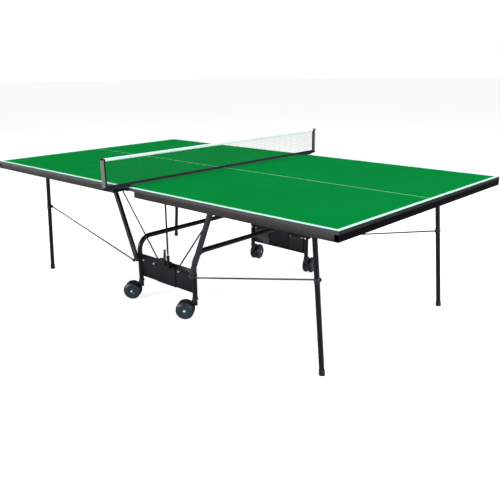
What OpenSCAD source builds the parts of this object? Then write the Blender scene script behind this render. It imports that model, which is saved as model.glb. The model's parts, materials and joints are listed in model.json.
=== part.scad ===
/* [Table top] */
// Length of the playing surface
table_length = 2740; // [2700:10:2760]
// Width of the playing surface
table_width = 1525; // [1505:5:1545]
// Height of the playing surface above the floor
table_height = 760; // [756:1:764]
// Thickness of each board
board_t = 18; // [16:1:19]
// Distance between the inner edges of the two boards
centre_gap = 16; // [14:1:18]
// Depth of the steel rails under the boards
rail_h = 30; // [28:1:32]
// Width of the steel rails under the boards
rail_w = 20; // [18:1:22]

/* [Undercarriage] */
// Distance from the centre line to each frame tube, along the table
frame_x = 240; // [236:1:244]
// Distance from the middle to the upright tubes, across the table
frame_y = 500; // [496:1:502]
// Height of the middle of the two cross tubes
frame_top_z = 382; // [378:1:386]
// Diameter of the undercarriage tubes
frame_d = 28; // [26:1:28]
// Radius of the tube bends at their centre line
bend_r = 80; // [70:5:90]
// Height of the fold pivots on the undercarriage
pivot_z = 252; // [250:1:254]

/* [Legs] */
// Diameter of the leg tubes
leg_d = 25; // [24:1:26]
// Distance from the middle to each foot, along the table
foot_x = 1168; // [1160:1:1172]
// Distance from the middle to each leg pivot, along the table
leg_pivot_x = 1105; // [1102:1:1108]

/* [Net] */
// Height of the net above the playing surface
net_h = 158; // [152:1:166]
// Distance from the middle to each net post
post_y = 879; // [872:1:890]

/* [Casters] */
// Diameter of the caster wheels
wheel_d = 104; // [100:1:106]
// Distance from the swivel axis to the wheel axis
trail = 58; // [54:1:60]

/* [Hidden] */
$fn = 48;

// Heights that stack down from the playing surface
board_z = table_height - board_t;
rail_z = board_z - rail_h;
strut_top_z = rail_z - 8;
leg_pivot_z = rail_z - 7;

// Where the rails lie along one half
half_len = table_length / 2;
inner_rail_x = 95;
strut_rail_x = 470;
leg_rail_x = 1128;
edge_y = table_width / 2;

// Planes of the linkage, measured from the middle across the table
stay_y = 481;
strut_y = 525;
lock_y = 542.5;
rod_y = 548.5;
leg_y = 567.5;

// Fold linkage of one half
strut_x = 437;
strut_w = 18;
strut_depth = 25;
strut_run = strut_x - frame_x;
strut_rise = strut_top_z - pivot_z;
strut_len = norm([strut_run, strut_rise]);
strut_tilt = atan2(strut_run, strut_rise);
stay_on_strut = 455;
stay_top = [
    frame_x + stay_on_strut * sin(strut_tilt),
    pivot_z + stay_on_strut * cos(strut_tilt)
];
stay_foot = [88, 262];
lock_x = 72;
lock_top_z = rail_z - 8;
lock_foot_z = 352;

// Leg and the clamp that its rod turns on
leg_lean = atan2(foot_x - leg_pivot_x, leg_pivot_z);
collar_down = 257;
collar_at = [
    leg_pivot_x + collar_down * sin(leg_lean),
    leg_pivot_z - collar_down * cos(leg_lean)
];
leg_len = leg_pivot_z / cos(leg_lean);

// Small hardware
pin_d = 8;
pin_play = 0.05;
hole_d = pin_d + 2 * pin_play;
rod_d = 8;
stay_d = 8;
lock_d = 10;
sheet = 2.5;

// Side panels between the upright tubes
panel_z = 146;
panel_h = 134;
panel_crease_x = 82;
panel_bulge = 6;

// Latch box on the side panel
latch_z = 268;
latch_deep = 20;
latch_back = frame_y + 2 + panel_bulge;
lever_x = 26;
lever_z = 282;

// Casters
wheel_w = 26;
wheel_gap = 20;
stem_z = 112;
axle_z = wheel_d / 2;

// Net
post_d = 14;
band_h = 16;
cord_h = 12;
net_end_y = post_y - post_d / 2;

// Every linkage part is drawn for the right half. The left half is the same part turned half a turn
// about the vertical, so its near pieces are the right half's far pieces.
module half_turn(left) { rotate([0, 0, left ? 180 : 0]) children(); }
module both_sides() { for (s = [-1, 1]) mirror([0, s > 0 ? 1 : 0, 0]) children(); }

// Places children on the near side, their own axis along Y, centred on [x, z] in the plane y
module across(x, y, z) { translate([x, -y, z]) rotate([90, 0, 0]) children(); }

// A bar with rounded ends between two points [x, z], lying in the plane y
module link(a, b, y, depth, thick) {
    run = norm(b - a);
    across(a[0], y, a[1])
        rotate([0, 0, atan2(b[1] - a[1], b[0] - a[0])])
            linear_extrude(thick, center = true) {
                circle(d = depth);
                translate([run, 0]) circle(d = depth);
                translate([0, -depth / 2]) square([run, depth]);
            }
}

// A round rod between two points [x, z] with a flat eye at each end
module eye_rod(a, b, y, d, eye, flat) {
    run = norm(b - a);
    across(a[0], y, a[1])
        rotate([0, 0, atan2(b[1] - a[1], b[0] - a[0])]) {
            translate([eye / 2 - 1, 0, 0]) rotate([0, 90, 0]) cylinder(d = d, h = run - eye + 2);
            for (x = [0, run])
                translate([x, 0, -flat / 2]) cylinder(d = eye, h = flat);
        }
}

module hole(p, y, reach, d) { across(p[0], y, p[1]) cylinder(d = d, h = reach, center = true); }

// --- Boards and their steel frame ---

module board() {
    color("#0a7f3f")
        translate([centre_gap / 2, -edge_y, board_z])
            cube([half_len - centre_gap / 2, table_width, board_t]);
}

// A square-section tube along Y or X with a 1.5 mm wall
module box_rail(size, along) {
    wall = 1.5;
    inner = [for (i = [0:2]) i == along ? size[i] + 2 : size[i] - 2 * wall];
    start = [for (i = [0:2]) i == along ? -1 : wall];
    difference() {
        cube(size);
        translate(start) cube(inner);
    }
}

module side_rails() {
    color("#2b2c31")
        both_sides()
            translate([inner_rail_x, -edge_y, rail_z])
                box_rail([half_len - inner_rail_x - rail_w, rail_w, rail_h], 0);
}

// Plastic plugs in the open inner ends of the side rails
module rail_caps() {
    wall = 1.5;
    color("#111214")
        both_sides() {
            translate([inner_rail_x - 2, -edge_y, rail_z]) cube([2, rail_w, rail_h]);
            translate([inner_rail_x - 1, wall - edge_y, rail_z + wall])
                cube([13, rail_w - 2 * wall, rail_h - 2 * wall]);
        }
}

module end_rail() {
    color("#1d1e22")
        translate([half_len - rail_w, -edge_y, rail_z])
            box_rail([rail_w, table_width, rail_h], 1);
}

module cross_rails() {
    color("#222327")
        for (x = [inner_rail_x, strut_rail_x, leg_rail_x])
            translate([x, rail_w - edge_y, rail_z])
                box_rail([rail_w, table_width - 2 * rail_w, rail_h], 1);
}

// Hangers for the strut pin, the leg axle and the lock rod. Each is a flat plate bolted under a rail.
module hanger(x, y, z, reach) {
    r = 9;
    thick = 2.5;
    difference() {
        across(x, y, 0)
            linear_extrude(thick, center = true)
                difference() {
                    union() {
                        translate([0, z]) circle(r = r);
                        translate([-r, z]) square([2 * r, board_z - z]);
                        translate([min(0, reach), rail_z - 6])
                            square([abs(reach), 6]);
                    }
                }
        hole([x, z], y, thick + 2, hole_d);
    }
}

module brackets() {
    color("#34363b") {
        both_sides() {
            for (side = [-1, 1])
                hanger(strut_x, strut_y + side * (strut_w / 2 + 1.8), strut_top_z, strut_rail_x - strut_x + 14);
            for (side = [-1, 1])
                hanger(leg_pivot_x, leg_y + side * (leg_d / 2 + 2.2), leg_pivot_z, leg_rail_x - leg_pivot_x + 14);
        }
        hanger(lock_x, lock_y + lock_d / 2 + 1.8, lock_top_z, inner_rail_x - lock_x + 14);
    }
}

// --- Fold struts and stays ---

module struts() {
    foot = [frame_x, pivot_z];
    top = [strut_x, strut_top_z];
    color("#3c3f45")
        both_sides()
            difference() {
                link(foot, top, strut_y, strut_depth, strut_w);
                hole(foot, strut_y, strut_w + 2, hole_d);
                hole(top, strut_y, strut_w + 2, hole_d);
                hole(stay_top, strut_y, strut_w + 2, hole_d);
            }
}

// Pins that the boards' hangers turn on
module strut_pins() {
    color("#c9ccd1")
        both_sides()
            across(strut_x, strut_y, strut_top_z) {
                cylinder(d = pin_d, h = strut_w + 9, center = true);
                for (s = [-1, 1])
                    translate([0, 0, s * (strut_w / 2 + 4.1)]) cylinder(d = 13, h = 1.6, center = true);
            }
}

module stays() {
    reach = strut_y + strut_w / 2 - stay_y;
    color("#2a2c30")
        both_sides() {
            eye_rod(stay_foot, stay_top, stay_y, stay_d, 18, 6);
            across(stay_top[0], stay_y - 4, stay_top[1]) {
                cylinder(d = pin_d, h = reach + 4.4);
                translate([0, 0, reach + 4.4]) cylinder(d = 13, h = 1.8);
            }
        }
}

// --- Legs ---

module leg_frame(s) {
    mirror([0, s > 0 ? 1 : 0, 0])
        translate([leg_pivot_x, -leg_y, leg_pivot_z])
            rotate([0, 180 - leg_lean, 0])
                children();
}

module leg(s) {
    color("#26272b")
        difference() {
            leg_frame(s) {
                translate([0, 0, -10]) cylinder(d = leg_d, h = leg_len - 18);
                translate([0, 0, -10]) sphere(d = leg_d);
            }
            mirror([0, s > 0 ? 1 : 0, 0]) hole([leg_pivot_x, leg_pivot_z], leg_y, leg_d + 4, 12);
        }
}

// One shaft joins the tops of the two legs of a half and turns in the hangers
module leg_axle() {
    color("#26272b") {
        rotate([90, 0, 0])
            translate([leg_pivot_x, leg_pivot_z, -(leg_y + leg_d / 2 + 8)])
                cylinder(d = pin_d, h = 2 * (leg_y + leg_d / 2 + 8));
        both_sides()
            across(leg_pivot_x, leg_y, leg_pivot_z) cylinder(d = 12, h = leg_d + 1, center = true);
        both_sides()
            across(leg_pivot_x, leg_y + leg_d / 2 + 7, leg_pivot_z) cylinder(d = 14, h = 3, center = true);
    }
}

// Clamp round each leg with the stub that the rod turns on
module rod_collars() {
    color("#3a3c41")
        for (s = [-1, 1]) {
            difference() {
                leg_frame(s) translate([0, 0, collar_down - 11]) cylinder(d = leg_d + 4, h = 22);
                leg_frame(s) translate([0, 0, collar_down - 12]) cylinder(d = leg_d, h = 24);
            }
            mirror([0, s > 0 ? 1 : 0, 0])
                across(collar_at[0], rod_y, collar_at[1]) {
                    translate([0, 0, -5]) cylinder(d = pin_d, h = 11);
                    translate([0, 0, -6.5]) cylinder(d = 13, h = 3);
                }
        }
}

module feet() {
    color("#151517")
        for (s = [-1, 1])
            leg_frame(s)
                intersection() {
                    translate([0, 0, leg_len - 28]) cylinder(d = leg_d + 4, h = 50);
                    rotate([0, leg_lean - 180, 0])
                        translate([-100, -100, -leg_pivot_z])
                            cube([400, 200, 80]);
                }
}

module leg_rods() {
    color("#26282c")
        both_sides()
            difference() {
                eye_rod([frame_x, pivot_z], collar_at, rod_y, rod_d, 20, 6);
                hole([frame_x, pivot_z], rod_y, 8, hole_d);
                hole(collar_at, rod_y, 8, hole_d);
            }
}

// --- Lock rod: hangs from the inner rail and drops into the hook on the latch box ---

module lock_rod() {
    color("#26282c") {
        translate([lock_x, -lock_y, lock_foot_z]) cylinder(d = lock_d, h = lock_top_z - lock_foot_z);
        across(lock_x, lock_y, lock_top_z) {
            cylinder(d = 14, h = lock_d, center = true);
            cylinder(d = pin_d, h = lock_d / 2 + 6);
            translate([0, 0, lock_d / 2 + 3.4]) cylinder(d = 13, h = 2.6);
        }
        translate([lock_x, -lock_y, lock_foot_z]) sphere(d = lock_d);
    }
}

// --- Undercarriage ---

module upright(sx, sy) {
    color("#16171a")
        mirror([sx < 0 ? 1 : 0, 0, 0])
            mirror([0, sy > 0 ? 1 : 0, 0])
                difference() {
                    union() {
                        translate([frame_x, -frame_y, stem_z]) cylinder(d = frame_d, h = frame_top_z - bend_r - stem_z);
                        translate([frame_x, bend_r - frame_y, frame_top_z - bend_r])
                            rotate([90, 0, -90])
                                rotate_extrude(angle = 90)
                                    translate([bend_r, 0]) circle(d = frame_d);
                        translate([frame_x, bend_r - frame_y, frame_top_z])
                            rotate([-90, 0, 0]) cylinder(d = frame_d, h = 40);
                    }
                    hole([frame_x, pivot_z], frame_y, frame_d + 4, pin_d);
                    translate([frame_x, -frame_y, stem_z - 1]) cylinder(d = 11.1, h = 31);
                }
}

module cross_tube(sx) {
    half = frame_y - bend_r - 40;
    color("#16171a")
        translate([sx * frame_x, -half, frame_top_z])
            rotate([-90, 0, 0]) cylinder(d = frame_d, h = 2 * half);
}

// Folded sheet panel: flat wings by the uprights and a middle that stands out between two creases
module side_panel() {
    wing = frame_x - frame_d / 2;
    outer = [
        [-wing, 0], [-panel_crease_x - panel_bulge, 0], [-panel_crease_x, -panel_bulge],
        [panel_crease_x, -panel_bulge], [panel_crease_x + panel_bulge, 0], [wing, 0]
    ];
    inner = [for (i = [len(outer) - 1:-1:0]) outer[i] + [0, sheet]];
    color("#2d2e33")
        difference() {
            translate([0, -frame_y - 2, panel_z]) {
                linear_extrude(panel_h) polygon(concat(outer, inner));
                for (z = [0, panel_h - sheet])
                    translate([-wing, 0, z]) cube([2 * wing, 14, sheet]);
                for (x = [-wing, wing - sheet])
                    translate([x, 0, 0]) cube([sheet, 14, panel_h]);
            }
            for (p = panel_bolt_places())
                hole(p, frame_y, 30, 6);
        }
}

function panel_bolt_places() = [
    [-stay_foot[0] - 22, stay_foot[1] - 16], [stay_foot[0] + 22, stay_foot[1] - 16],
    [frame_x - 34, pivot_z - 4], [34 - frame_x, pivot_z - 4]
];

module panel_bolts() {
    color("#d5d8dc")
        both_sides()
            for (p = panel_bolt_places())
                across(p[0], frame_y + 2, p[1]) {
                    translate([0, 0, -12]) cylinder(d = 6, h = 12);
                    cylinder(d = 14, h = 1.5);
                    translate([0, 0, 1.5]) cylinder(d = 11, h = 4, $fn = 6);
                    translate([0, 0, -7.5]) cylinder(d = 10, h = 5, $fn = 6);
                }
}

// Pins through the uprights that carry the struts and the ends of the leg rods
module fold_pins() {
    color("#c9ccd1")
        for (sx = [-1, 1])
            mirror([sx < 0 ? 1 : 0, 0, 0])
                both_sides()
                    across(frame_x, frame_y - frame_d / 2 - 4, pivot_z) {
                        cylinder(d = pin_d, h = 63);
                        cylinder(d = 13, h = 4);
                        translate([0, 0, 52.4]) cylinder(d = 13, h = 3);
                    }
}

// --- Latch ---

module latch_box() {
    reach = lock_y - latch_back;
    color("#202125") {
        translate([-66, -latch_back - latch_deep, latch_z]) cube([132, latch_deep, 26]);
        translate([-24, -latch_back - latch_deep, latch_z + 26]) cube([30, latch_deep - 4, 10]);
        translate([lock_x - 10, -lock_y, latch_z]) cube([20, reach, 3]);
        translate([lock_x, -lock_y, latch_z])
            difference() {
                cylinder(d = lock_d + 8, h = lock_foot_z - latch_z - 10);
                translate([0, 0, 20]) cylinder(d = lock_d + 4, h = 100);
            }
        across(lever_x, latch_back + latch_deep, lever_z) cylinder(d = pin_d, h = 11);
        across(lever_x, latch_back + latch_deep + 8.4, lever_z) cylinder(d = 12, h = 2.6);
    }
}

module latch_lever() {
    lean = 8;
    rise = 80;
    color("#1a1b1e")
        across(lever_x, latch_back + latch_deep + 5, lever_z)
            linear_extrude(6, center = true)
                difference() {
                    union() {
                        circle(d = 22);
                        translate([lean, rise]) circle(d = 15);
                        for (side = [-1, 1])
                            translate([side * 7, 0])
                                rotate([0, 0, atan2(rise, lean - side * 4)])
                                    translate([0, -3]) square([rise, 6]);
                    }
                    circle(d = hole_d);
                }
}

// --- Casters ---

// Casters are drawn at the origin, swivel axis on Z, wheels trailing along -X
module at_caster(i, turn) {
    sx = i % 2 == 0 ? -1 : 1;
    sy = i < 2 ? -1 : 1;
    translate([sx * frame_x, sy * frame_y, 0]) rotate([0, 0, turn]) children();
}
caster_turn = [38, 38, -76, -74];

module caster_fork() {
    collar_z = 78;
    color("#24272d")
        difference() {
            union() {
                translate([0, 0, collar_z]) cylinder(d = 26, h = stem_z - collar_z - 0.4);
                translate([0, 0, stem_z - 1]) cylinder(d = 11, h = 30);
                translate([-trail, 0, axle_z])
                    rotate([90, 0, 0]) cylinder(d = 34, h = wheel_gap - 2, center = true);
                rotate([90, 0, 0])
                    linear_extrude(wheel_gap - 2, center = true)
                        polygon([
                            [-trail, axle_z + 15], [-18, wheel_d + 3], [6, wheel_d + 3],
                            [6, collar_z + 2], [-trail, axle_z - 15]
                        ]);
            }
            translate([-trail, 0, axle_z]) rotate([90, 0, 0]) cylinder(d = 8.1, h = 40, center = true);
        }
}

// Two domed wheels on one axle
module wheels() {
    r = wheel_d / 2;
    tread = wheel_gap / 2 + wheel_w * 0.6;
    face = wheel_gap / 2 + wheel_w;
    color("#38404c")
        translate([-trail, 0, axle_z])
            rotate([90, 0, 0]) {
                cylinder(d = 8, h = 2 * face + 2, center = true);
                for (turn = [0, 180])
                    rotate([turn, 0, 0])
                        rotate_extrude()
                            polygon([
                                [0, wheel_gap / 2], [r - 2, wheel_gap / 2], [r, wheel_gap / 2 + 2],
                                [r, tread], [r - 4, face - 5], [r - 12, face - 1],
                                [r - 20, face], [12, face], [12, face + 3], [0, face + 3]
                            ]);
            }
}

// --- Net ---

net_z = table_height + 3.6;
net_top = table_height + net_h;
net_t = 1.6;

module net_mesh() {
    color("#9aa0a2")
        translate([-net_t / 2, -net_end_y, net_z + cord_h])
            cube([net_t, 2 * net_end_y, net_top - band_h - cord_h - net_z]);
}

module net_band() {
    color("#f2f4f2")
        translate([-2.5, -net_end_y, net_top - band_h])
            cube([5, 2 * net_end_y, band_h]);
}

module net_cord() {
    color("#23262e")
        translate([-2.5, -net_end_y, net_z])
            cube([5, 2 * net_end_y, cord_h]);
}

module net_posts() {
    color("#77787a")
        both_sides() {
            translate([-post_d / 2, -post_y - post_d / 2, table_height + 3.3])
                cube([post_d, post_d, net_h - 3.3]);
            translate([-post_d / 2 - 1, -post_y - post_d / 2 - 1, net_top])
                cube([post_d + 2, post_d + 2, 5]);
        }
}

// Plate over both boards' inner corners that narrows to carry the post, with a tongue in the gap,
// a cheek down the boards' edges and a rib under the arm
module net_brackets() {
    half = 52;
    lap = 42;
    cheek = edge_y + 8;
    arm_end = post_y + post_d / 2 + 1;
    color("#22252d")
        both_sides() {
            translate([0, 0, table_height + 0.3])
                linear_extrude(3)
                    polygon([
                        [-half, lap - edge_y], [-half, -cheek], [-9, -arm_end],
                        [9, -arm_end], [half, -cheek], [half, lap - edge_y]
                    ]);
            translate([-2, -cheek, table_height - 8]) cube([4, lap + 8, 9]);
            translate([-half, -cheek, table_height - 18]) cube([2 * half, 7, 21]);
            rotate([90, 0, 90])
                linear_extrude(4, center = true)
                    polygon([
                        [1 - cheek, board_z], [1 - cheek, table_height + 1],
                        [1 - arm_end, table_height + 1], [1 - arm_end, table_height - 4]
                    ]);
        }
}

// --- Nodes ---

half_turn(true) board();  // board_left
board();  // board_right
half_turn(true) side_rails();  // side_rails_left
side_rails();  // side_rails_right
half_turn(true) rail_caps();  // rail_caps_left
rail_caps();  // rail_caps_right
half_turn(true) end_rail();  // end_rail_left
end_rail();  // end_rail_right
half_turn(true) cross_rails();  // cross_rails_left
cross_rails();  // cross_rails_right
half_turn(true) brackets();  // brackets_left
brackets();  // brackets_right
half_turn(true) strut_pins();  // strut_pins_left
strut_pins();  // strut_pins_right
half_turn(true) struts();  // struts_left
struts();  // struts_right
half_turn(true) stays();  // stays_left
stays();  // stays_right
half_turn(true) leg(1);  // leg_near_left
leg(-1);  // leg_near_right
half_turn(true) leg(-1);  // leg_far_left
leg(1);  // leg_far_right
half_turn(true) leg_axle();  // leg_axle_left
leg_axle();  // leg_axle_right
half_turn(true) rod_collars();  // rod_collars_left
rod_collars();  // rod_collars_right
half_turn(true) feet();  // feet_left
feet();  // feet_right
half_turn(true) leg_rods();  // leg_rods_left
leg_rods();  // leg_rods_right
lock_rod();  // lock_rod_near
half_turn(true) lock_rod();  // lock_rod_far
upright(-1, -1);  // upright_near_left
upright(1, -1);  // upright_near_right
upright(-1, 1);  // upright_far_left
upright(1, 1);  // upright_far_right
cross_tube(-1);  // cross_tube_left
cross_tube(1);  // cross_tube_right
side_panel();  // side_panel_near
half_turn(true) side_panel();  // side_panel_far
panel_bolts();
fold_pins();
latch_box();  // latch_box_near
half_turn(true) latch_box();  // latch_box_far
latch_lever();  // latch_lever_near
half_turn(true) latch_lever();  // latch_lever_far
at_caster(0, caster_turn[0]) caster_fork();  // caster_fork_near_left
at_caster(1, caster_turn[1]) caster_fork();  // caster_fork_near_right
at_caster(2, caster_turn[2]) caster_fork();  // caster_fork_far_left
at_caster(3, caster_turn[3]) caster_fork();  // caster_fork_far_right
at_caster(0, caster_turn[0]) wheels();  // wheels_near_left
at_caster(1, caster_turn[1]) wheels();  // wheels_near_right
at_caster(2, caster_turn[2]) wheels();  // wheels_far_left
at_caster(3, caster_turn[3]) wheels();  // wheels_far_right
net_mesh();
net_band();
net_cord();
net_posts();
net_brackets();
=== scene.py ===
import json
import math
import random

import bmesh
import bpy
from mathutils import Matrix, Vector


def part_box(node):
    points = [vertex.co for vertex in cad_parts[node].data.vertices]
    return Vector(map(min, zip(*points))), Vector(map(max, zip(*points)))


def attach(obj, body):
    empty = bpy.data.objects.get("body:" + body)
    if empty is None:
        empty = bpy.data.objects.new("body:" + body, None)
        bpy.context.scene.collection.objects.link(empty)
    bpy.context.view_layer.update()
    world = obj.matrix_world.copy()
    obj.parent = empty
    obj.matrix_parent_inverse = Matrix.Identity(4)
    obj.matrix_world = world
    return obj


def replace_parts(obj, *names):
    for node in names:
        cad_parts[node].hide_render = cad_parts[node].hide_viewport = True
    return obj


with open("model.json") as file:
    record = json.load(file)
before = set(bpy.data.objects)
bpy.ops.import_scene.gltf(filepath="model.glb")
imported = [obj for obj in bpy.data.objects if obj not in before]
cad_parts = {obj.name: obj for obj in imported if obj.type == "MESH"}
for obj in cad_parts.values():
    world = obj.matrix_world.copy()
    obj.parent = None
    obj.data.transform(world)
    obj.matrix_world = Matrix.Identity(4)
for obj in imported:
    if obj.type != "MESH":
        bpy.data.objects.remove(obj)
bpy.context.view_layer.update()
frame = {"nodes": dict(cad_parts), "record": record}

random.seed(7)
NODES = frame["nodes"]
BODY_OF = {n: b for b, names in frame["record"]["behaviour"]["bodies"].items() for n in names}
JOINTS = {j["name"]: j for j in frame["record"]["behaviour"]["joints"]}
SLOT_OF = {s["node"]: s["material_slot"] for s in frame["record"]["subparts"]}
SIDES = ("near", "far")
HALVES = ("left", "right")


# ---------------------------------------------------------------- materials

class Nodes:
    """A node tree being built: short calls for the few node kinds used here."""

    def __init__(self, name):
        self.mat = bpy.data.materials.new(name)
        self.mat.use_nodes = True
        self.tree = self.mat.node_tree
        self.shader = self.tree.nodes["Principled BSDF"]
        self.place = self.add("ShaderNodeTexCoord").outputs["Object"]

    def add(self, kind, **values):
        node = self.tree.nodes.new(kind)
        for key, value in values.items():
            setattr(node, key, value)
        return node

    def link(self, a, b):
        self.tree.links.new(a, b)

    def noise(self, scale, detail=3.0, rough=0.55, stretch=None):
        node = self.add("ShaderNodeTexNoise")
        node.inputs["Scale"].default_value = scale
        node.inputs["Detail"].default_value = detail
        node.inputs["Roughness"].default_value = rough
        place = self.place
        if stretch:
            mapping = self.add("ShaderNodeMapping")
            mapping.inputs["Scale"].default_value = stretch
            self.link(place, mapping.inputs["Vector"])
            place = mapping.outputs["Vector"]
        self.link(place, node.inputs["Vector"])
        return node.outputs["Fac"]

    def span(self, value, low, high, to_low, to_high):
        node = self.add("ShaderNodeMapRange")
        self.link(value, node.inputs["Value"])
        limits = {"From Min": low, "From Max": high, "To Min": to_low, "To Max": to_high}
        for name, number in limits.items():
            node.inputs[name].default_value = number
        return node.outputs["Result"]

    def mix(self, factor, a, b):
        node = self.add("ShaderNodeMix", data_type="RGBA", blend_type="MIX")
        self.link(factor, node.inputs["Factor"])
        for socket, value in ((node.inputs["A"], a), (node.inputs["B"], b)):
            if isinstance(value, (tuple, list)):
                socket.default_value = (*value[:3], 1)
            else:
                self.link(value, socket)
        return node.outputs["Result"]

    def larger(self, a, b):
        node = self.add("ShaderNodeMath", operation="MAXIMUM")
        self.link(a, node.inputs[0])
        self.link(b, node.inputs[1])
        return node.outputs[0]

    def bump(self, height, distance, strength):
        node = self.add("ShaderNodeBump")
        node.inputs["Strength"].default_value = strength
        node.inputs["Distance"].default_value = distance
        self.link(height, node.inputs["Height"])
        return node.outputs["Normal"]

    def done(self, color, rough, normal=None, metal=0.0, specular=0.5, sheen=0.0):
        """Fills the shader and gives back the finished material."""
        s = self.shader.inputs
        self.link(color, s["Base Color"])
        self.link(rough, s["Roughness"])
        if normal is not None:
            self.link(normal, s["Normal"])
        s["Metallic"].default_value = metal
        s["Specular IOR Level"].default_value = specular
        s["Sheen Weight"].default_value = sheen
        return self.mat


def shade(color, by):
    """The colour made lighter or darker by a factor."""
    return tuple(max(0.0, min(1.0, c * by)) for c in color)


def coated(name, color, rough=0.38, tint=0.16, grain=700.0, depth=0.00006, scuff=0.10, specular=0.5):
    """Powder coat or moulded plastic: faint cloudiness, an orange-peel skin and scuffed gloss."""
    n = Nodes(name)
    cloud = n.noise(5.0, 4.0)
    fleck = n.noise(grain * 0.6, 2.0)
    base = n.mix(n.span(cloud, 0.3, 0.7, 0, 1), shade(color, 1 - tint), shade(color, 1 + tint))
    base = n.mix(n.span(fleck, 0.55, 0.8, 0, 0.5), base, shade(color, 1.9))
    smear = n.noise(18.0, 6.0, 0.7, stretch=(1.0, 1.0, 0.35))
    gloss = n.span(smear, 0.3, 0.75, max(0.05, rough - scuff * 0.5), rough + scuff)
    skin = n.bump(n.noise(grain, 3.0), depth, 0.6)
    return n.done(base, gloss, skin, specular=specular)


def painted_board(name, color, rough=0.62, specular=0.004):
    """Rolled playing paint: very fine matt grain with slow changes of tone and faint ball scuffs."""
    n = Nodes(name)
    cloud = n.noise(1.6, 3.0)
    base = n.mix(n.span(cloud, 0.3, 0.7, 0, 1), shade(color, 0.97), shade(color, 1.03))
    grain = n.noise(1400.0, 3.0)
    base = n.mix(n.span(grain, 0.35, 0.7, 0, 0.25), base, shade(color, 0.74))
    scuffs = n.span(n.noise(26.0, 8.0, 0.75, stretch=(1.0, 0.3, 1.0)), 0.70, 0.84, 0, 0.12)
    base = n.mix(scuffs, base, shade(color, 1.2))
    gloss = n.span(n.noise(9.0, 5.0), 0.3, 0.7, rough - 0.05, rough + 0.07)
    skin = n.bump(grain, 0.00007, 0.5)
    return n.done(base, gloss, skin, specular=specular)


def board_edge(name, color):
    """Sealed edge of a wood-based board: lines along the layers and a few chips."""
    n = Nodes(name)
    layers = n.noise(60.0, 5.0, 0.6, stretch=(0.15, 0.15, 7.0))
    base = n.mix(n.span(layers, 0.3, 0.7, 0, 1), shade(color, 0.78), shade(color, 1.2))
    chips = n.span(n.noise(240.0, 4.0, 0.8), 0.68, 0.76, 0, 0.6)
    base = n.mix(chips, base, shade(color, 0.45))
    gloss = n.span(n.noise(40.0, 4.0), 0.3, 0.7, 0.42, 0.6)
    return n.done(base, gloss, n.bump(layers, 0.0002, 0.5), specular=0.45)


def zinc_plated(name, color=(0.86, 0.87, 0.90), rough=0.36, metal=1.0):
    """Plated metal: a cloudy bloom and fine brushed lines."""
    n = Nodes(name)
    bloom = n.noise(120.0, 4.0)
    base = n.mix(n.span(bloom, 0.3, 0.7, 0, 1), shade(color, 0.82), shade(color, 1.12))
    brushed = n.noise(500.0, 2.0, 0.5, stretch=(1.0, 0.05, 1.0))
    gloss = n.span(brushed, 0.3, 0.7, rough - 0.08, rough + 0.12)
    return n.done(base, gloss, n.bump(brushed, 0.00003, 0.5), metal=metal)


# The wave texture repeats once in this distance when its scale is 1
WAVE_PER_PITCH = 0.314


def woven(name, color, pitch=0.0011, rough=0.85, sheen=0.25):
    """Flat woven tape: crossed threads with uneven tone."""
    n = Nodes(name)
    bands = []
    for axis in ("Y", "Z"):
        wave = n.add("ShaderNodeTexWave", wave_type="BANDS", bands_direction=axis)
        wave.inputs["Scale"].default_value = WAVE_PER_PITCH / pitch
        wave.inputs["Distortion"].default_value = 0.6
        wave.inputs["Detail"].default_value = 1.0
        n.link(n.place, wave.inputs["Vector"])
        bands.append(wave.outputs["Fac"])
    weave = n.larger(*bands)
    tone = n.noise(22.0, 4.0)
    base = n.mix(n.span(tone, 0.3, 0.7, 0, 1), shade(color, 0.9), shade(color, 1.06))
    base = n.mix(n.span(weave, 0.0, 0.6, 0.45, 0), base, shade(color, 0.6))
    gloss = n.span(tone, 0.3, 0.7, rough - 0.06, rough + 0.08)
    return n.done(base, gloss, n.bump(weave, 0.0002, 0.6), specular=0.25, sheen=sheen)


def rubbery(name, color, rough=0.62):
    """Rubber with a matt, dusty skin."""
    n = Nodes(name)
    tone = n.noise(30.0, 5.0)
    dust = n.span(n.noise(90.0, 6.0, 0.75), 0.56, 0.8, 0, 0.5)
    base = n.mix(n.span(tone, 0.3, 0.7, 0, 1), shade(color, 0.8), shade(color, 1.2))
    base = n.mix(dust, base, shade(color, 2.6))
    gloss = n.span(tone, 0.3, 0.7, rough - 0.08, rough + 0.12)
    return n.done(base, gloss, n.bump(n.noise(420.0, 3.0), 0.00012, 0.6), specular=0.4)


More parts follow.
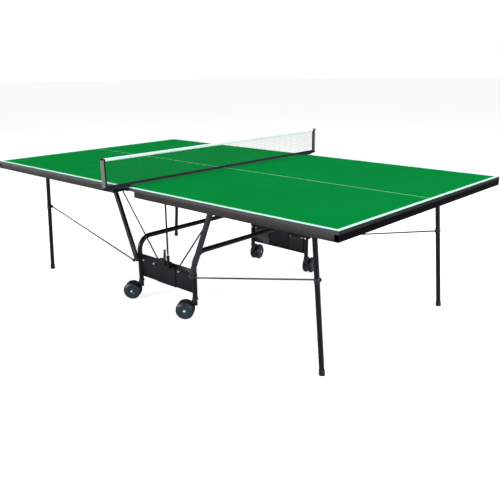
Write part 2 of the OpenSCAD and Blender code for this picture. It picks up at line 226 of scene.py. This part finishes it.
M = {
    "green": painted_board("board_green_paint", (0.0002, 0.180, 0.032)),
    "line": painted_board("board_white_line", (0.50, 0.74, 0.68)),
    "edge": board_edge("board_edge_band", (0.066, 0.068, 0.070)),
    # The end band is the grey edge band again, coloured near black: painted shade for the board's end
    # faces, which the lamps barely reach.
    "end_edge": board_edge("board_end_painted_shade", (0.0022, 0.0024, 0.0030)),
    "under": painted_board("board_underside_sealer", (0.020, 0.026, 0.022), 0.6),
    "rail": coated("rail_powder_coat", (0.030, 0.0275, 0.0265), 0.42, specular=0.3),
    # The end rail coat is the rail's powder coat again, coloured near black with little sheen: painted
    # shade for the rail ends that face away from the lamps.
    "end_rail": coated("end_rail_coat_painted_shade", (0.0022, 0.0022, 0.0030), 0.5, specular=0.04),
    "frame": coated("frame_powder_coat", (0.0045, 0.0055, 0.0090), 0.30, scuff=0.12, specular=0.45),
    "panel": coated("panel_powder_coat", (0.0060, 0.0068, 0.0095), 0.42, grain=520.0, specular=0.3),
    "strut": coated("strut_powder_coat", (0.016, 0.023, 0.034), 0.24, specular=0.7),
    "plastic": coated("moulded_black_plastic", (0.0050, 0.0050, 0.0062), 0.46, grain=1100.0,
                      depth=0.00005, specular=0.4),
    "fork": coated("caster_fork_nylon", (0.0080, 0.011, 0.017), 0.38, grain=900.0),
    "wheel": coated("caster_wheel_plastic", (0.020, 0.040, 0.058), 0.28, grain=900.0, specular=0.6),
    "tread": rubbery("caster_tread_rubber", (0.0045, 0.0065, 0.0095), 0.5),
    "foot": rubbery("foot_rubber", (0.010, 0.010, 0.011)),
    "zinc": zinc_plated("bright_zinc"),
    # The hub caps are near white and mostly matt: a painted highlight that stands in for the glint of a
    # chrome cap.
    "hub": zinc_plated("hub_cap_painted_highlight", (0.92, 0.93, 0.95), 0.40, metal=0.35),
    "post": coated("post_grey_paint", (0.20, 0.19, 0.18), 0.40, tint=0.1),
    "bracket": coated("bracket_powder_coat", (0.0050, 0.0085, 0.016), 0.40, specular=0.25),
    "thread": woven("net_thread", (0.014, 0.115, 0.045), 0.0006, sheen=0.0),
    "tape": woven("net_white_tape", (0.82, 0.93, 0.97)),
    "webbing": woven("net_dark_tape", (0.010, 0.016, 0.024), 0.0013, sheen=0.03),
    "stitch": woven("net_stitching", (0.70, 0.74, 0.74), 0.0004),
}


# ---------------------------------------------------------------- mesh helpers

WELD_DISTANCE = 0.00001
FLAT_ANGLE = math.radians(0.4)


def make(name, bm, *materials, smooth=True):
    """Turns a finished bmesh into an object with the named materials."""
    mesh = bpy.data.meshes.new(name)
    bmesh.ops.recalc_face_normals(bm, faces=bm.faces)
    bm.to_mesh(mesh)
    bm.free()
    for m in materials:
        mesh.materials.append(M[m])
    for p in mesh.polygons:
        p.use_smooth = smooth
    obj = bpy.data.objects.new(name, mesh)
    bpy.context.scene.collection.objects.link(obj)
    return obj


def ease(obj, width, segments=2, angle=32.0):
    """Rounds the sharp edges, and keeps flat faces flat in shading."""
    mod = obj.modifiers.new("eased", "BEVEL")
    mod.width = width
    mod.segments = segments
    mod.limit_method = "ANGLE"
    mod.angle_limit = math.radians(angle)
    mod.use_clamp_overlap = True
    mod.harden_normals = True
    mod.miter_outer = "MITER_ARC"
    return obj


def seat(obj, body, slot, *stands_for):
    """Puts a piece on its body and hides the CAD nodes that it stands for; the slot is not used."""
    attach(obj, body)
    if stands_for:
        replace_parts(obj, *stands_for)
    return obj


def eased_copy(node, material, width, segments=2):
    """The CAD node again, as a clean mesh with rounded edges."""
    bm = bmesh.new()
    bm.from_mesh(NODES[node].data)
    bmesh.ops.remove_doubles(bm, verts=bm.verts, dist=WELD_DISTANCE)
    bmesh.ops.dissolve_limit(bm, angle_limit=FLAT_ANGLE, verts=bm.verts, edges=bm.edges,
                             delimit={"NORMAL"})
    for layer in list(bm.loops.layers.uv):
        bm.loops.layers.uv.remove(layer)
    obj = make(node + "_finished", bm, material)
    ease(obj, width, segments)
    return seat(obj, BODY_OF[node], SLOT_OF[node], node)


def block(bm, low, high):
    """A box from its low corner to its high corner."""
    made = bmesh.ops.create_cube(bm, size=1.0)["verts"]
    size = Vector(high) - Vector(low)
    mid = (Vector(high) + Vector(low)) / 2
    for v in made:
        v.co = Vector((v.co.x * size.x, v.co.y * size.y, v.co.z * size.z)) + mid
    return made


def lathe(bm, profile, place, steps=64, material=0, closed=False):
    """Spins [radius, height] points about the local Z axis, then puts them in place."""
    rings = []
    for radius, height in profile:
        if radius == 0:
            rings.append([bm.verts.new(place @ Vector((0, 0, height)))])
            continue
        rings.append([bm.verts.new(place @ Vector((radius * math.cos(a), radius * math.sin(a), height)))
                      for a in (2 * math.pi * i / steps for i in range(steps))])
    pairs = list(zip(rings, rings[1:]))
    if closed:
        pairs.append((rings[-1], rings[0]))
    for low, high in pairs:
        for i in range(steps):
            j = (i + 1) % steps
            corners = [low[i % len(low)], low[j % len(low)], high[j % len(high)], high[i % len(high)]]
            corners = [c for k, c in enumerate(corners) if c not in corners[:k]]
            if len(corners) > 2:
                bm.faces.new(corners).material_index = material


def along(place, direction):
    """A matrix whose Z axis points along direction, with its origin at place."""
    turn = Vector(direction).to_track_quat("Z", "Y").to_matrix().to_4x4()
    return Matrix.Translation(Vector(place)) @ turn


def rod(bm, a, b, radius, steps):
    a, b = Vector(a), Vector(b)
    length = (b - a).length
    lathe(bm, [(0, 0), (radius, 0), (radius, length), (0, length)], along(a, b - a), steps)


def turned(obj, half):
    """Turns a right-half piece half a turn about the vertical when it is for the left half."""
    if half == "left":
        obj.data.transform(Matrix.Rotation(math.pi, 4, "Z"))
    return obj


# ---------------------------------------------------------------- table top

low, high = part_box("board_right")
INNER_X, OUTER_X = low.x, high.x
EDGE_Y, BOARD_Z, TOP_Z = high.y, low.z, high.z
LINE_W = 0.020
CENTRE_LINE_W = 0.003
PAINT, LINE, EDGE, UNDERSIDE, END = range(5)


def board(half):
    """One playing board, with its white lines as faces of their own."""
    bm = bmesh.new()
    block(bm, (INNER_X, -EDGE_Y, BOARD_Z), (OUTER_X, EDGE_Y, TOP_Z))
    cuts = [((OUTER_X - LINE_W, 0, 0), (1, 0, 0))]
    cuts += [((0, y, 0), (0, 1, 0)) for y in
             (LINE_W - EDGE_Y, -CENTRE_LINE_W / 2, CENTRE_LINE_W / 2, EDGE_Y - LINE_W)]
    for point, normal in cuts:
        bmesh.ops.bisect_plane(bm, geom=bm.verts[:] + bm.edges[:] + bm.faces[:],
                               plane_co=point, plane_no=normal)
    bm.normal_update()
    for f in bm.faces:
        c = f.calc_center_median()
        if f.normal.z > 0.5:
            lined = abs(c.y) > EDGE_Y - LINE_W or abs(c.y) < CENTRE_LINE_W / 2 or c.x > OUTER_X - LINE_W
            f.material_index = LINE if lined else PAINT
        # The outer end face takes the end band, whose near-black colour is painted shade.
        elif f.normal.x > 0.5:
            f.material_index = END
        else:
            f.material_index = UNDERSIDE if f.normal.z < -0.5 else EDGE
    obj = make("playing_board_" + half, bm, "green", "line", "edge", "under", "end_edge")
    ease(turned(obj, half), 0.0011, 3)
    return seat(obj, "half_" + half, "table_top", "board_" + half)


for half in HALVES:
    board(half)
    # The end rails take the near-black end rail coat, which is painted shade.
    for node, material, width in (("side_rails_", "rail", 0.0026), ("end_rail_", "end_rail", 0.0026),
                                  ("cross_rails_", "rail", 0.0018)):
        eased_copy(node + half, material, width, 3)
    eased_copy("rail_caps_" + half, "plastic", 0.0010)
    eased_copy("brackets_" + half, "strut", 0.0006)


# ---------------------------------------------------------------- steelwork that keeps its CAD shape

KEPT = ["%s_%s_%s" % (kind, side, half)
        for kind in ("upright", "leg") for side in SIDES for half in HALVES]
KEPT += ["cross_tube_" + half for half in HALVES]
EASED = {
    "frame": [("leg_rods_", 0.0008), ("stays_", 0.0007), ("leg_axle_", 0.0006)],
    "strut": [("struts_", 0.0022), ("rod_collars_", 0.0008)],
    "zinc": [("strut_pins_", 0.0004)],
    "foot": [("feet_", 0.0012)],
}
for node in KEPT:
    NODES[node].data.materials.clear()
    NODES[node].data.materials.append(M["frame"])
for material, names in EASED.items():
    for node, width in names:
        for half in HALVES:
            eased_copy(node + half, material, width)
for side in SIDES:
    eased_copy("lock_rod_" + side, "frame", 0.0007)
    eased_copy("side_panel_" + side, "panel", 0.0009)
    eased_copy("latch_box_" + side, "plastic", 0.0016, 3)
    eased_copy("latch_lever_" + side, "plastic", 0.0014, 3)
eased_copy("panel_bolts", "zinc", 0.0005)
eased_copy("fold_pins", "zinc", 0.0005)
eased_copy("net_brackets", "bracket", 0.0006)


# ---------------------------------------------------------------- casters

# Radius of a wheel, and how far its inner side, tread edge and outer face stand from the fork's middle
WHEEL_R = 0.052
GAP = 0.010
TREAD_EDGE = 0.0256
FACE = 0.036
SPOKES = 8
WHEEL_STEPS, SMALL_STEPS = 72, 40


def caster(key):
    """Twin wheels with ribbed faces and rubber treads, their hub caps, and the fork."""
    roll = JOINTS["roll_" + key]
    centre, axle = Vector(roll["pos_m"]), Vector(roll["axis"]).normalized()
    bm = bmesh.new()
    for sign in (-1, 1):
        place = along(centre, axle * sign)
        tread = [(WHEEL_R - 0.010, GAP), (WHEEL_R - 0.0022, GAP), (WHEEL_R - 0.0006, GAP + 0.0006),
                 (WHEEL_R, GAP + 0.0022), (WHEEL_R, TREAD_EDGE - 0.0015),
                 (WHEEL_R - 0.0012, TREAD_EDGE + 0.001), (WHEEL_R - 0.0040, TREAD_EDGE + 0.0030),
                 (WHEEL_R - 0.010, TREAD_EDGE + 0.0030)]
        lathe(bm, tread, place, WHEEL_STEPS, 1, closed=True)
        dome = [(0, GAP), (0.009, GAP), (0.012, GAP + 0.003), (WHEEL_R - 0.012, GAP + 0.003),
                (WHEEL_R - 0.0095, GAP + 0.0012), (WHEEL_R - 0.0060, GAP + 0.0030),
                (WHEEL_R - 0.0052, TREAD_EDGE + 0.0022), (WHEEL_R - 0.0062, TREAD_EDGE + 0.0052),
                (WHEEL_R - 0.0085, TREAD_EDGE + 0.0066), (WHEEL_R - 0.0100, TREAD_EDGE + 0.0062),
                (WHEEL_R - 0.0112, TREAD_EDGE + 0.0062), (WHEEL_R - 0.0130, TREAD_EDGE + 0.0078),
                (WHEEL_R - 0.0200, TREAD_EDGE + 0.0094), (0.0190, FACE - 0.0002), (0.0170, FACE - 0.0006),
                (0.0150, FACE - 0.0026), (0.0115, FACE - 0.0030), (0, FACE - 0.0030)]
        lathe(bm, dome, place, WHEEL_STEPS)
        for i in range(SPOKES):
            spin = place @ Matrix.Rotation(i * 2 * math.pi / SPOKES, 4, "Z")
            for v in block(bm, (0.021, -0.0011, FACE - 0.0030), (0.035, 0.0011, FACE - 0.0006)):
                v.co = spin @ v.co
    wheels = make("twin_wheels_" + key, bm, "wheel", "tread")
    ease(wheels, 0.0004, 2, 40)
    seat(wheels, "wheels_" + key, "wheel_plastic", "wheels_" + key)

    bm = bmesh.new()
    for sign in (-1, 1):
        place = along(centre, axle * sign)
        cap = [(0, FACE - 0.0030), (0.0072, FACE - 0.0030), (0.0072, FACE + 0.0002),
               (0.0066, FACE + 0.0013), (0.0050, FACE + 0.0023), (0.0026, FACE + 0.0029),
               (0, FACE + 0.0030)]
        lathe(bm, cap, place, SMALL_STEPS)
    # The caps take the hub colour, which is a painted highlight.
    seat(make("hub_caps_" + key, bm, "hub"), "wheels_" + key, "zinc")
    eased_copy("caster_fork_" + key, "fork", 0.0022, 3)


for side in SIDES:
    for half in HALVES:
        caster(side + "_" + half)


# ---------------------------------------------------------------- net

POST_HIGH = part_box("net_posts")[1]
BAND_LOW, BAND_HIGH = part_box("net_band")
CORD_LOW, CORD_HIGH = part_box("net_cord")
END_Y = BAND_HIGH.y
# The CAD cap stands this far past the post on each side, and the finished cap a little less
CAD_CAP_LIP = 0.001
CAP_LIP = 0.0008
POST_W = POST_HIGH.y - CAD_CAP_LIP - END_Y
POST_FOOT_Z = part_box("net_brackets")[1].z
# The rod in each end of the net stands this far in from the post
ROD_Y = END_Y - 0.0070
# The netting runs this far into each tape
TUCK = 0.003
MESH_LOW, MESH_HIGH = CORD_HIGH.z - TUCK, BAND_LOW.z + TUCK
CELL = 0.0126
THREAD_R = 0.000475
KNOT_R = THREAD_R * 1.9
TAPE_THICK = 0.0042


def tube(bm, points, radius, sides=6):
    """A round thread through the points, closed at both ends."""
    rings = []
    for i, p in enumerate(points):
        way = (points[min(i + 1, len(points) - 1)] - points[max(i - 1, 0)]).normalized()
        side = Vector((1, 0, 0)) if abs(way.x) < 0.8 else Vector((0, 0, 1))
        other = way.cross(side).normalized()
        side = other.cross(way)
        rings.append([bm.verts.new(p + (side * math.cos(t) + other * math.sin(t)) * radius)
                      for t in (2 * math.pi * k / sides for k in range(sides))])
    for a, b in zip(rings, rings[1:]):
        for k in range(sides):
            bm.faces.new((a[k], a[(k + 1) % sides], b[(k + 1) % sides], b[k]))
    bm.faces.new(rings[0][::-1])
    bm.faces.new(rings[-1])


def net():
    """Knotted netting: crossing threads, each a little out of true, with a knot at every crossing."""
    bm = bmesh.new()
    across = round(2 * END_Y / CELL)
    up = round((MESH_HIGH - MESH_LOW) / CELL)
    step_y, step_z = 2 * END_Y / across, (MESH_HIGH - MESH_LOW) / up
    points = {}
    for i in range(across + 1):
        for j in range(up + 1):
            loose = 0.0 if j in (0, up) or i in (0, across) else 1.0
            y = -END_Y + i * step_y + random.uniform(-1, 1) * 0.0006 * loose
            z = MESH_LOW + j * step_z + random.uniform(-1, 1) * 0.0005 * loose
            x = (0.0006 * math.sin(y * 7.0) + random.uniform(-1, 1) * 0.0003) * loose
            points[i, j] = Vector((x, y, z))
    for i in range(across + 1):
        tube(bm, [points[i, j] for j in range(up + 1)], THREAD_R)
    for j in range(1, up):
        tube(bm, [points[i, j] for i in range(across + 1)], THREAD_R)
        for i in range(1, across):
            for v in bmesh.ops.create_icosphere(bm, subdivisions=1, radius=KNOT_R)["verts"]:
                v.co += points[i, j]
    return make("netting", bm, "thread")


netting = net()
seat(netting, "net_set", "net_mesh", "net_mesh")


def folded_tape(name, material, fold_z, fold_up, tall, cloth):
    """A tape folded lengthwise over the netting's edge, open on the side the netting comes out of."""
    half = TAPE_THICK / 2
    ring = [(-half, -tall), (-half, -tall * 0.5), (-half, -half)]
    ring += [(half * math.cos(a), half * math.sin(a) - half) for a in
             (math.pi - k * math.pi / 8 for k in range(9))]
    ring += [(half, -tall * 0.5), (half, -tall)]
    sign = 1 if fold_up else -1
    bm = bmesh.new()
    rows = []
    count = 180
    for i in range(count + 1):
        y = -END_Y + 2 * END_Y * i / count
        ripple = 0.00025 * math.sin(y * 31.0) + 0.0002 * math.sin(y * 83.0 + 1.0)
        swell = 1 + 40 * ripple
        rows.append([bm.verts.new((x * swell + ripple, y, fold_z + sign * z)) for x, z in ring])
    for a, b in zip(rows, rows[1:]):
        for k in range(len(ring) - 1):
            bm.faces.new((a[k], a[k + 1], b[k + 1], b[k]))
    obj = make(name, bm, material)
    solid = obj.modifiers.new("cloth", "SOLIDIFY")
    solid.thickness = cloth
    solid.offset = -1 if fold_up else 1
    girth = sum(math.dist(p, q) for p, q in zip(ring, ring[1:]))
    return obj, girth


top_tape, top_girth = folded_tape("net_top_tape", "tape", BAND_HIGH.z, True,
                                  BAND_HIGH.z - BAND_LOW.z, 0.0006)
seat(top_tape, "net_set", "net_white", "net_band")
bottom_tape, low_girth = folded_tape("net_bottom_tape", "webbing", CORD_LOW.z, False,
                                     CORD_HIGH.z - CORD_LOW.z, 0.0007)
seat(bottom_tape, "net_set", "net_dark", "net_cord")


def stitching():
    """A row of stitches along the open edge of each tape, on both faces."""
    bm = bmesh.new()
    pitch, long, radius, from_edge, start = 0.0062, 0.0042, 0.00028, 0.0022, 0.004
    for z in (BAND_LOW.z + from_edge, CORD_HIGH.z - from_edge):
        for x in (-TAPE_THICK / 2, TAPE_THICK / 2):
            y = -END_Y + start
            while y + long < END_Y:
                rod(bm, (x, y, z), (x, y + long, z), radius, 5)
                y += pitch
    return make("net_stitching", bm, "stitch")


seat(stitching(), "net_set", "net_white")


def post(side):
    """A net post with its two plastic caps, and the rod in the end of the net that clips to it."""
    s = -1 if side == "near" else 1
    mid = s * (END_Y + POST_W / 2)
    bm = bmesh.new()
    block(bm, (-POST_W / 2, mid - POST_W / 2, POST_FOOT_Z), (POST_W / 2, mid + POST_W / 2, BAND_HIGH.z))
    obj = ease(make("net_post_" + side, bm, "post"), 0.0026, 4)
    seat(obj, "net_set", "post_metal")
    bm = bmesh.new()
    half = POST_W / 2 + CAP_LIP
    top_cap_tall, foot_cap_tall, foot_gap = 0.014, 0.007, 0.0002
    block(bm, (-half, mid - half, POST_HIGH.z - top_cap_tall), (half, mid + half, POST_HIGH.z))
    block(bm, (-half, mid - half, POST_FOOT_Z + foot_gap), (half, mid + half, POST_FOOT_Z + foot_cap_tall))
    caps = ease(make("net_post_caps_" + side, bm, "plastic"), 0.0038, 4)
    seat(caps, "net_set", "latch_plastic")
    bm = bmesh.new()
    y = s * ROD_Y
    tall = BAND_HIGH.z - CORD_LOW.z
    lathe(bm, [(0, 0), (0.0046, 0), (0.0056, 0.001), (0.0056, tall - 0.006), (0.0046, tall - 0.003),
               (0, tall - 0.002)], Matrix.Translation((0, y, CORD_LOW.z)), 24)
    clip_wide, clip_tall = 0.0045, 0.004
    for z in (0.018, tall / 2, tall - 0.020):
        block(bm, (-clip_wide, min(y, mid), CORD_LOW.z + z - clip_tall),
              (clip_wide, max(y, mid), CORD_LOW.z + z + clip_tall))
    seat(ease(make("net_end_rod_" + side, bm, "webbing"), 0.0008), "net_set", "net_dark")
    return obj


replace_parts(post("near"), "net_posts")
post("far")


# ---------------------------------------------------------------- small fittings

def fittings():
    """Rings where the casters' stems enter the uprights, and weld beads round the frame tubes."""
    for side, sy in (("near", -1), ("far", 1)):
        for half in HALVES:
            low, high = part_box("upright_%s_%s" % (side, half))
            x = (low.x + high.x) / 2
            y = JOINTS["swivel_%s_%s" % (side, half)]["pos_m"][1]
            bm = bmesh.new()
            z = low.z
            ring = [(0.0141, z + 0.0002), (0.0168, z + 0.0002), (0.0176, z + 0.0012),
                    (0.0176, z + 0.0075), (0.0160, z + 0.0100), (0.0141, z + 0.0110)]
            lathe(bm, ring, Matrix.Translation((x, y, 0)), SMALL_STEPS, closed=True)
            seat(make("stem_ring_%s_%s" % (side, half), bm, "fork"), "undercarriage", "caster_plastic")
            bm = bmesh.new()
            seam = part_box("cross_tube_" + half)
            place = along((x, sy * seam[1].y, (seam[0].z + seam[1].z) / 2), (0, 1, 0))
            r = (high.x - low.x) / 2
            bead = [(r - 0.0004, -0.0028), (r + 0.0006, -0.0020), (r + 0.0011, 0),
                    (r + 0.0006, 0.0020), (r - 0.0004, 0.0028)]
            lathe(bm, bead, place, SMALL_STEPS, closed=True)
            seat(make("weld_bead_%s_%s" % (side, half), bm, "frame"), "undercarriage", "frame_steel")


fittings()


# ---------------------------------------------------------------- floor, light and camera

def area_light(name, place, aim, size, power, color=(1, 1, 1)):
    """A round soft light at place that points at aim."""
    data = bpy.data.lights.new(name, "AREA")
    data.shape = "DISK"
    data.size = size
    data.energy = power
    data.color = color
    obj = bpy.data.objects.new(name, data)
    obj.location = place
    obj.rotation_euler = (Vector(aim) - Vector(place)).to_track_quat("-Z", "Y").to_euler()
    bpy.context.scene.collection.objects.link(obj)


def stage_material(name, tone, glow):
    """Pale seamless paper that glows a little, so that shadows on it stay faint."""
    n = Nodes(name)
    paper = n.mix(n.span(n.noise(0.6, 3.0), 0.3, 0.7, 0, 1), shade(tone, 0.99), tone)
    n.shader.inputs["Emission Color"].default_value = (1, 1, 1, 1)
    n.shader.inputs["Emission Strength"].default_value = glow
    return n.done(paper, n.span(n.noise(3.0), 0.3, 0.7, 0.8, 0.9), specular=0.0)


FLOOR_HALF, FLOOR_Z = 45, -0.0005
DOME_R = 44
WORLD_LIGHT = 0.30
bm = bmesh.new()
bmesh.ops.create_grid(bm, x_segments=1, y_segments=1, size=FLOOR_HALF)
floor = make("floor", bm, smooth=False)
floor.data.materials.append(stage_material("floor_paper", (0.58, 0.58, 0.58), 0.78))
floor.location.z = FLOOR_Z
bm = bmesh.new()
bmesh.ops.create_uvsphere(bm, u_segments=48, v_segments=24, radius=DOME_R)
dome = make("backdrop", bm)
dome.data.materials.append(stage_material("backdrop_paper", (0.0, 0.0, 0.0), 1.0))
for obj in (floor, dome):
    obj.visible_diffuse = False
    obj.visible_glossy = False
dome.visible_shadow = False

world = bpy.data.worlds.new("studio")
bpy.context.scene.world = world
world.use_nodes = True
world.node_tree.nodes["Background"].inputs["Color"].default_value = (1, 1, 1, 1)
world.node_tree.nodes["Background"].inputs["Strength"].default_value = WORLD_LIGHT

area_light("top", (-0.3, 0.3, 5.2), (0, 0, 0.7), 5.0, 190)
area_light("front", (-2.2, -6.0, 2.4), (0, -0.5, 0.5), 3.0, 260, (1.0, 0.99, 0.97))
area_light("left", (-6.0, -2.4, 1.6), (0, 0, 0.4), 1.6, 90, (0.93, 0.97, 1.0))
area_light("right", (5.6, 0.4, 2.6), (0, 0.3, 0.7), 3.0, 300)

scene = bpy.context.scene
scene.view_settings.view_transform = "Standard"
scene.view_settings.look = "None"

EYE = (2.7030, -2.6888, 1.3922)
LENS = 45.32
AZIMUTH, ELEVATION, ROLL = map(math.radians, (43.01, 16.89, -0.59))
back = Vector((math.sin(AZIMUTH) * math.cos(ELEVATION), -math.cos(AZIMUTH) * math.cos(ELEVATION),
               math.sin(ELEVATION)))
right = Vector((0, 0, 1)).cross(back).normalized()
up = back.cross(right)
turn = Matrix.Rotation(ROLL, 3, back)
right, up = turn @ right, turn @ up
camera = bpy.data.cameras.new("camera")
camera.lens = LENS
camera.sensor_width = 36.0
camera.clip_end = 100.0
eye = bpy.data.objects.new("camera", camera)
eye.matrix_world = Matrix.Translation(EYE) @ Matrix((right, up, back)).transposed().to_4x4()
scene.collection.objects.link(eye)
scene.camera = eye
